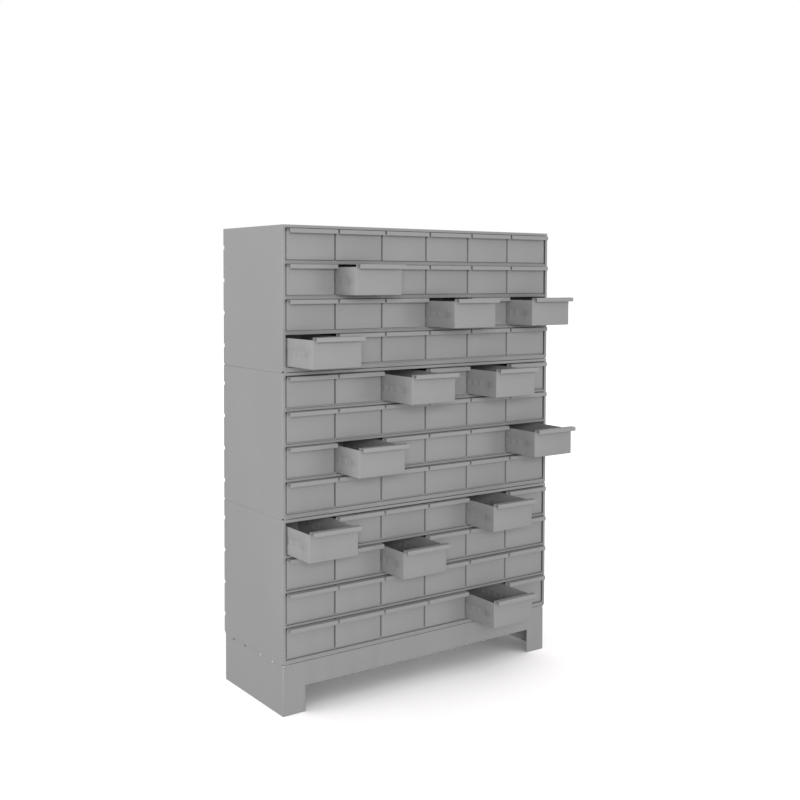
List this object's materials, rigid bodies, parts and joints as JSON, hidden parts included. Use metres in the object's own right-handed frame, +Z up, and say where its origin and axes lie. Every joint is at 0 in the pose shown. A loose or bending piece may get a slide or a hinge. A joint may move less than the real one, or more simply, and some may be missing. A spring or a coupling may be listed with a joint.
{
  "type": "parts bin cabinet",
  "caption": "Tall grey sheet steel bin cabinet: stacked units of small open-topped drawers with full-width pull lips, on a low base with corner legs.",
  "frame": {"origin": "on the floor under the middle of the whole object's bounding box, open drawers included", "axes": "+X to the right as seen from the front, +Y from the drawer fronts to the back, +Z up"},
  "size_m": [0.8668, 0.4542, 1.1976],
  "materials": {
    "grey_painted_steel": "smooth baked enamel, satin",
    "zinc_plated_steel": "bright zinc plate"
  },
  "bodies": {
    "cabinet": {"base_wrap": "grey_painted_steel", "base_rear_skirt": "grey_painted_steel", "lower_cabinet_shell": "grey_painted_steel", "middle_cabinet_shell": "grey_painted_steel", "upper_cabinet_shell": "grey_painted_steel", "back_panels": "grey_painted_steel", "floor_pans": "grey_painted_steel", "drawer_shelves": "grey_painted_steel", "drawer_guides": "grey_painted_steel", "stacking_screws": "zinc_plated_steel"},
    "drawer_r02_c2_body": {"drawer_r02_c2": "grey_painted_steel"},
    "drawer_r03_c4_body": {"drawer_r03_c4": "grey_painted_steel"},
    "drawer_r03_c6_body": {"drawer_r03_c6": "grey_painted_steel"},
    "drawer_r04_c1_body": {"drawer_r04_c1": "grey_painted_steel"},
    "drawer_r05_c3_body": {"drawer_r05_c3": "grey_painted_steel"},
    "drawer_r05_c5_body": {"drawer_r05_c5": "grey_painted_steel"},
    "drawer_r07_c2_body": {"drawer_r07_c2": "grey_painted_steel"},
    "drawer_r07_c6_body": {"drawer_r07_c6": "grey_painted_steel"},
    "drawer_r09_c1_body": {"drawer_r09_c1": "grey_painted_steel"},
    "drawer_r09_c5_body": {"drawer_r09_c5": "grey_painted_steel"},
    "drawer_r10_c3_body": {"drawer_r10_c3": "grey_painted_steel"},
    "drawer_r12_c5_body": {"drawer_r12_c5": "grey_painted_steel"},
    "drawer_r02_c1_body": {"drawer_r02_c1": "grey_painted_steel"},
    "drawer_r03_c1_body": {"drawer_r03_c1": "grey_painted_steel"},
    "drawer_r03_c2_body": {"drawer_r03_c2": "grey_painted_steel"},
    "drawer_r03_c3_body": {"drawer_r03_c3": "grey_painted_steel"},
    "drawer_r03_c5_body": {"drawer_r03_c5": "grey_painted_steel"},
    "drawer_r04_c2_body": {"drawer_r04_c2": "grey_painted_steel"},
    "drawer_r05_c4_body": {"drawer_r05_c4": "grey_painted_steel"},
    "drawer_r05_c6_body": {"drawer_r05_c6": "grey_painted_steel"},
    "drawer_r07_c1_body": {"drawer_r07_c1": "grey_painted_steel"},
    "drawer_r07_c5_body": {"drawer_r07_c5": "grey_painted_steel"},
    "drawer_r09_c2_body": {"drawer_r09_c2": "grey_painted_steel"},
    "drawer_r09_c6_body": {"drawer_r09_c6": "grey_painted_steel"},
    "drawer_r10_c4_body": {"drawer_r10_c4": "grey_painted_steel"},
    "drawer_r12_c3_body": {"drawer_r12_c3": "grey_painted_steel"},
    "drawer_r12_c4_body": {"drawer_r12_c4": "grey_painted_steel"},
    "drawer_r12_c6_body": {"drawer_r12_c6": "grey_painted_steel"},
    "drawers_r01_c1_c2_body": {"drawers_r01_c1_c2": "grey_painted_steel"},
    "drawers_r01_c3_c4_body": {"drawers_r01_c3_c4": "grey_painted_steel"},
    "drawers_r01_c5_c6_body": {"drawers_r01_c5_c6": "grey_painted_steel"},
    "drawers_r02_c3_c4_body": {"drawers_r02_c3_c4": "grey_painted_steel"},
    "drawers_r02_c5_c6_body": {"drawers_r02_c5_c6": "grey_painted_steel"},
    "drawers_r04_c3_c4_body": {"drawers_r04_c3_c4": "grey_painted_steel"},
    "drawers_r04_c5_c6_body": {"drawers_r04_c5_c6": "grey_painted_steel"},
    "drawers_r05_c1_c2_body": {"drawers_r05_c1_c2": "grey_painted_steel"},
    "drawers_r06_c1_c2_body": {"drawers_r06_c1_c2": "grey_painted_steel"},
    "drawers_r06_c3_c4_body": {"drawers_r06_c3_c4": "grey_painted_steel"},
    "drawers_r06_c5_c6_body": {"drawers_r06_c5_c6": "grey_painted_steel"},
    "drawers_r07_c3_c4_body": {"drawers_r07_c3_c4": "grey_painted_steel"},
    "drawers_r08_c1_c2_body": {"drawers_r08_c1_c2": "grey_painted_steel"},
    "drawers_r08_c3_c4_body": {"drawers_r08_c3_c4": "grey_painted_steel"},
    "drawers_r08_c5_c6_body": {"drawers_r08_c5_c6": "grey_painted_steel"},
    "drawers_r09_c3_c4_body": {"drawers_r09_c3_c4": "grey_painted_steel"},
    "drawers_r10_c1_c2_body": {"drawers_r10_c1_c2": "grey_painted_steel"},
    "drawers_r10_c5_c6_body": {"drawers_r10_c5_c6": "grey_painted_steel"},
    "drawers_r11_c1_c2_body": {"drawers_r11_c1_c2": "grey_painted_steel"},
    "drawers_r11_c3_c4_body": {"drawers_r11_c3_c4": "grey_painted_steel"},
    "drawers_r11_c5_c6_body": {"drawers_r11_c5_c6": "grey_painted_steel"},
    "drawers_r12_c1_c2_body": {"drawers_r12_c1_c2": "grey_painted_steel"}
  },
  "joints": [
    {"name": "drawer_r02_c2_slide", "type": "slide", "parent": "cabinet", "child": "drawer_r02_c2_body", "axis": [0, -1, 0], "range_m": [-0.09, 0.1341]},
    {"name": "drawer_r03_c4_slide", "type": "slide", "parent": "cabinet", "child": "drawer_r03_c4_body", "axis": [0, -1, 0], "range_m": [-0.118, 0.1061]},
    {"name": "drawer_r03_c6_slide", "type": "slide", "parent": "cabinet", "child": "drawer_r03_c6_body", "axis": [0, -1, 0], "range_m": [-0.101, 0.1231]},
    {"name": "drawer_r04_c1_slide", "type": "slide", "parent": "cabinet", "child": "drawer_r04_c1_body", "axis": [0, -1, 0], "range_m": [-0.121, 0.1031]},
    {"name": "drawer_r05_c3_slide", "type": "slide", "parent": "cabinet", "child": "drawer_r05_c3_body", "axis": [0, -1, 0], "range_m": [-0.127, 0.0971]},
    {"name": "drawer_r05_c5_slide", "type": "slide", "parent": "cabinet", "child": "drawer_r05_c5_body", "axis": [0, -1, 0], "range_m": [-0.118, 0.1061]},
    {"name": "drawer_r07_c2_slide", "type": "slide", "parent": "cabinet", "child": "drawer_r07_c2_body", "axis": [0, -1, 0], "range_m": [-0.105, 0.1191]},
    {"name": "drawer_r07_c6_slide", "type": "slide", "parent": "cabinet", "child": "drawer_r07_c6_body", "axis": [0, -1, 0], "range_m": [-0.115, 0.1091]},
    {"name": "drawer_r09_c1_slide", "type": "slide", "parent": "cabinet", "child": "drawer_r09_c1_body", "axis": [0, -1, 0], "range_m": [-0.107, 0.1171]},
    {"name": "drawer_r09_c5_slide", "type": "slide", "parent": "cabinet", "child": "drawer_r09_c5_body", "axis": [0, -1, 0], "range_m": [-0.111, 0.1131]},
    {"name": "drawer_r10_c3_slide", "type": "slide", "parent": "cabinet", "child": "drawer_r10_c3_body", "axis": [0, -1, 0], "range_m": [-0.095, 0.1291]},
    {"name": "drawer_r12_c5_slide", "type": "slide", "parent": "cabinet", "child": "drawer_r12_c5_body", "axis": [0, -1, 0], "range_m": [-0.115, 0.1091]},
    {"name": "drawer_r02_c1_slide", "type": "slide", "parent": "cabinet", "child": "drawer_r02_c1_body", "axis": [0, -1, 0], "range_m": [0, 0.2241]},
    {"name": "drawer_r03_c1_slide", "type": "slide", "parent": "cabinet", "child": "drawer_r03_c1_body", "axis": [0, -1, 0], "range_m": [0, 0.2241]},
    {"name": "drawer_r03_c2_slide", "type": "slide", "parent": "cabinet", "child": "drawer_r03_c2_body", "axis": [0, -1, 0], "range_m": [0, 0.2241]},
    {"name": "drawer_r03_c3_slide", "type": "slide", "parent": "cabinet", "child": "drawer_r03_c3_body", "axis": [0, -1, 0], "range_m": [0, 0.2241]},
    {"name": "drawer_r03_c5_slide", "type": "slide", "parent": "cabinet", "child": "drawer_r03_c5_body", "axis": [0, -1, 0], "range_m": [0, 0.2241]},
    {"name": "drawer_r04_c2_slide", "type": "slide", "parent": "cabinet", "child": "drawer_r04_c2_body", "axis": [0, -1, 0], "range_m": [0, 0.2241]},
    {"name": "drawer_r05_c4_slide", "type": "slide", "parent": "cabinet", "child": "drawer_r05_c4_body", "axis": [0, -1, 0], "range_m": [0, 0.2241]},
    {"name": "drawer_r05_c6_slide", "type": "slide", "parent": "cabinet", "child": "drawer_r05_c6_body", "axis": [0, -1, 0], "range_m": [0, 0.2241]},
    {"name": "drawer_r07_c1_slide", "type": "slide", "parent": "cabinet", "child": "drawer_r07_c1_body", "axis": [0, -1, 0], "range_m": [0, 0.2241]},
    {"name": "drawer_r07_c5_slide", "type": "slide", "parent": "cabinet", "child": "drawer_r07_c5_body", "axis": [0, -1, 0], "range_m": [0, 0.2241]},
    {"name": "drawer_r09_c2_slide", "type": "slide", "parent": "cabinet", "child": "drawer_r09_c2_body", "axis": [0, -1, 0], "range_m": [0, 0.2241]},
    {"name": "drawer_r09_c6_slide", "type": "slide", "parent": "cabinet", "child": "drawer_r09_c6_body", "axis": [0, -1, 0], "range_m": [0, 0.2241]},
    {"name": "drawer_r10_c4_slide", "type": "slide", "parent": "cabinet", "child": "drawer_r10_c4_body", "axis": [0, -1, 0], "range_m": [0, 0.2241]},
    {"name": "drawer_r12_c3_slide", "type": "slide", "parent": "cabinet", "child": "drawer_r12_c3_body", "axis": [0, -1, 0], "range_m": [0, 0.2241]},
    {"name": "drawer_r12_c4_slide", "type": "slide", "parent": "cabinet", "child": "drawer_r12_c4_body", "axis": [0, -1, 0], "range_m": [0, 0.2241]},
    {"name": "drawer_r12_c6_slide", "type": "slide", "parent": "cabinet", "child": "drawer_r12_c6_body", "axis": [0, -1, 0], "range_m": [0, 0.2241]},
    {"name": "drawers_r01_c1_c2_slide", "type": "slide", "parent": "cabinet", "child": "drawers_r01_c1_c2_body", "axis": [0, -1, 0], "range_m": [0, 0.2241]},
    {"name": "drawers_r01_c3_c4_slide", "type": "slide", "parent": "cabinet", "child": "drawers_r01_c3_c4_body", "axis": [0, -1, 0], "range_m": [0, 0.2241]},
    {"name": "drawers_r01_c5_c6_slide", "type": "slide", "parent": "cabinet", "child": "drawers_r01_c5_c6_body", "axis": [0, -1, 0], "range_m": [0, 0.2241]},
    {"name": "drawers_r02_c3_c4_slide", "type": "slide", "parent": "cabinet", "child": "drawers_r02_c3_c4_body", "axis": [0, -1, 0], "range_m": [0, 0.2241]},
    {"name": "drawers_r02_c5_c6_slide", "type": "slide", "parent": "cabinet", "child": "drawers_r02_c5_c6_body", "axis": [0, -1, 0], "range_m": [0, 0.2241]},
    {"name": "drawers_r04_c3_c4_slide", "type": "slide", "parent": "cabinet", "child": "drawers_r04_c3_c4_body", "axis": [0, -1, 0], "range_m": [0, 0.2241]},
    {"name": "drawers_r04_c5_c6_slide", "type": "slide", "parent": "cabinet", "child": "drawers_r04_c5_c6_body", "axis": [0, -1, 0], "range_m": [0, 0.2241]},
    {"name": "drawers_r05_c1_c2_slide", "type": "slide", "parent": "cabinet", "child": "drawers_r05_c1_c2_body", "axis": [0, -1, 0], "range_m": [0, 0.2241]},
    {"name": "drawers_r06_c1_c2_slide", "type": "slide", "parent": "cabinet", "child": "drawers_r06_c1_c2_body", "axis": [0, -1, 0], "range_m": [0, 0.2241]},
    {"name": "drawers_r06_c3_c4_slide", "type": "slide", "parent": "cabinet", "child": "drawers_r06_c3_c4_body", "axis": [0, -1, 0], "range_m": [0, 0.2241]},
    {"name": "drawers_r06_c5_c6_slide", "type": "slide", "parent": "cabinet", "child": "drawers_r06_c5_c6_body", "axis": [0, -1, 0], "range_m": [0, 0.2241]},
    {"name": "drawers_r07_c3_c4_slide", "type": "slide", "parent": "cabinet", "child": "drawers_r07_c3_c4_body", "axis": [0, -1, 0], "range_m": [0, 0.2241]},
    {"name": "drawers_r08_c1_c2_slide", "type": "slide", "parent": "cabinet", "child": "drawers_r08_c1_c2_body", "axis": [0, -1, 0], "range_m": [0, 0.2241]},
    {"name": "drawers_r08_c3_c4_slide", "type": "slide", "parent": "cabinet", "child": "drawers_r08_c3_c4_body", "axis": [0, -1, 0], "range_m": [0, 0.2241]},
    {"name": "drawers_r08_c5_c6_slide", "type": "slide", "parent": "cabinet", "child": "drawers_r08_c5_c6_body", "axis": [0, -1, 0], "range_m": [0, 0.2241]},
    {"name": "drawers_r09_c3_c4_slide", "type": "slide", "parent": "cabinet", "child": "drawers_r09_c3_c4_body", "axis": [0, -1, 0], "range_m": [0, 0.2241]},
    {"name": "drawers_r10_c1_c2_slide", "type": "slide", "parent": "cabinet", "child": "drawers_r10_c1_c2_body", "axis": [0, -1, 0], "range_m": [0, 0.2241]},
    {"name": "drawers_r10_c5_c6_slide", "type": "slide", "parent": "cabinet", "child": "drawers_r10_c5_c6_body", "axis": [0, -1, 0], "range_m": [0, 0.2241]},
    {"name": "drawers_r11_c1_c2_slide", "type": "slide", "parent": "cabinet", "child": "drawers_r11_c1_c2_body", "axis": [0, -1, 0], "range_m": [0, 0.2241]},
    {"name": "drawers_r11_c3_c4_slide", "type": "slide", "parent": "cabinet", "child": "drawers_r11_c3_c4_body", "axis": [0, -1, 0], "range_m": [0, 0.2241]},
    {"name": "drawers_r11_c5_c6_slide", "type": "slide", "parent": "cabinet", "child": "drawers_r11_c5_c6_body", "axis": [0, -1, 0], "range_m": [0, 0.2241]},
    {"name": "drawers_r12_c1_c2_slide", "type": "slide", "parent": "cabinet", "child": "drawers_r12_c1_c2_body", "axis": [0, -1, 0], "range_m": [0, 0.2241]}
  ]
}
